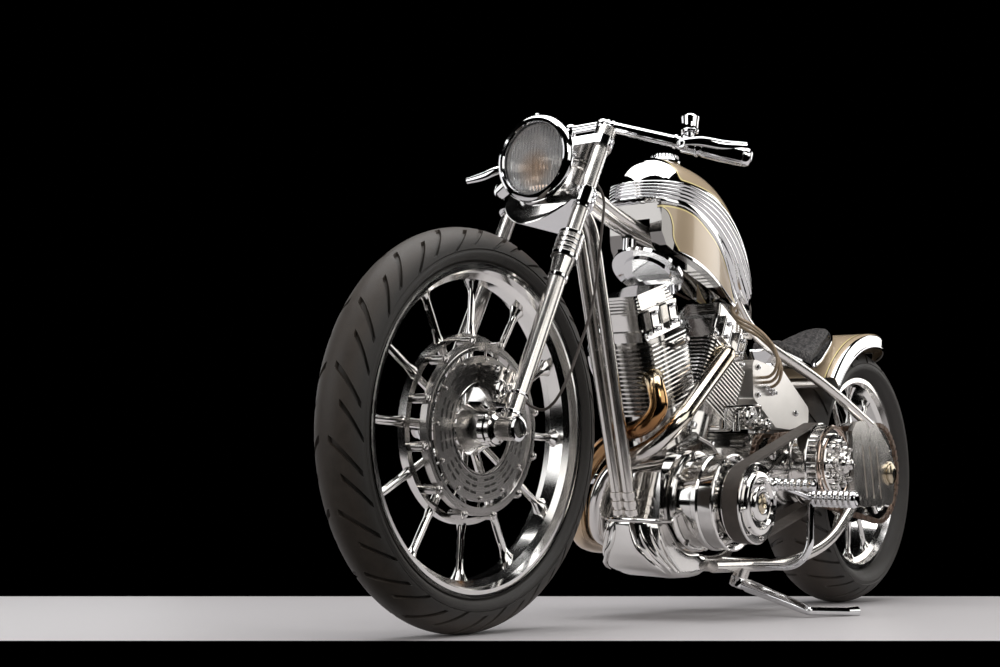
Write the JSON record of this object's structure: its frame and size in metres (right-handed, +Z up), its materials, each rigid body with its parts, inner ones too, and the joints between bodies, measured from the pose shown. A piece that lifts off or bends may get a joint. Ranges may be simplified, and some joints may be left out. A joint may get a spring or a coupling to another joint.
{
  "type": "chopper motorcycle",
  "caption": "Low two-cylinder chopper motorcycle with raked fork, belt primary drive, solo seat and side stand; wheels roll, fork steers, stand folds.",
  "frame": {"origin": "middle of the parked machine's bounding box, at floor level", "axes": "+X forward, +Y to the rider's left, +Z up; the machine leans 3.23 degrees to the left onto its side stand"},
  "size_m": [2.1729, 0.6562, 0.9637],
  "materials": {
    "tyre": "matt",
    "polished_alloy": "polished",
    "cast_alloy": "satin",
    "sprocket_alloy": "polished",
    "brake_steel": "satin",
    "bright_steel": "polished",
    "chrome": "polished",
    "nickel": "polished",
    "bronzed_pipe": "polished",
    "grip_metal": "polished",
    "lamp_glass": "clear",
    "belt_rubber": "matt",
    "chain_steel": "satin",
    "cream_paint": "satin",
    "suede": "matt",
    "red_lens": "gloss",
    "black_hose": "satin",
    "tan_hose": "gloss"
  },
  "bodies": {
    "frame": {"air_cleaner": "chrome", "belly_pan": "polished_alloy", "clutch": "polished_alloy", "crankcase": "cast_alloy", "drive_belt": "belt_rubber", "drive_chain": "chain_steel", "engine_mount_dish": "chrome", "foot_controls": "chrome", "frame": "nickel", "front_cylinder": "cast_alloy", "front_exhaust_pipe": "bronzed_pipe", "front_pulley": "polished_alloy", "front_rocker_box": "polished_alloy", "fuel_tank": "cream_paint", "gearbox": "cast_alloy", "motor_plate": "polished_alloy", "oil_hoses": "tan_hose", "oil_tank": "nickel", "rear_axle": "bright_steel", "rear_caliper": "polished_alloy", "rear_cylinder": "cast_alloy", "rear_exhaust_pipe": "chrome", "rear_fender": "cream_paint", "rear_rocker_box": "polished_alloy", "seat_pad": "suede", "seat_pan": "chrome", "tail_lamp": "red_lens"},
    "steering": {"brake_hose": "black_hose", "fork_sliders": "polished_alloy", "fork_tubes": "chrome", "front_axle": "bright_steel", "front_caliper": "polished_alloy", "grips": "grip_metal", "hand_controls": "chrome", "handlebar": "chrome", "headlight_lens": "lamp_glass", "headlight_shell": "chrome", "triple_tree": "chrome"},
    "front_wheel": {"front_disc": "brake_steel", "front_rim": "polished_alloy", "front_tyre": "tyre"},
    "rear_wheel": {"rear_disc": "brake_steel", "rear_rim": "polished_alloy", "rear_sprocket": "sprocket_alloy", "rear_tyre": "tyre"},
    "side_stand": {"side_stand": "chrome"}
  },
  "joints": [
    {"name": "steer", "type": "hinge", "parent": "frame", "child": "steering", "pos_m": [0.47707, 0.01953, 0.80951], "axis": [-0.4147, 0.0513, 0.9085], "range_deg": [-30, 30]},
    {"name": "front_wheel_spin", "type": "hinge", "parent": "steering", "child": "front_wheel", "pos_m": [0.7465, -0.00699, 0.33961], "axis": [0, 0.9984, -0.0563], "continuous": true},
    {"name": "rear_wheel_spin", "type": "hinge", "parent": "frame", "child": "rear_wheel", "pos_m": [-0.7555, -0.0075, 0.33063], "axis": [0, 0.9984, -0.0563], "continuous": true},
    {"name": "stand_fold", "type": "hinge", "parent": "frame", "child": "side_stand", "pos_m": [-0.0825, 0.05179, 0.06787], "axis": [-0.16, 0.3034, 0.9393], "range_deg": [0, 85]}
  ]
}
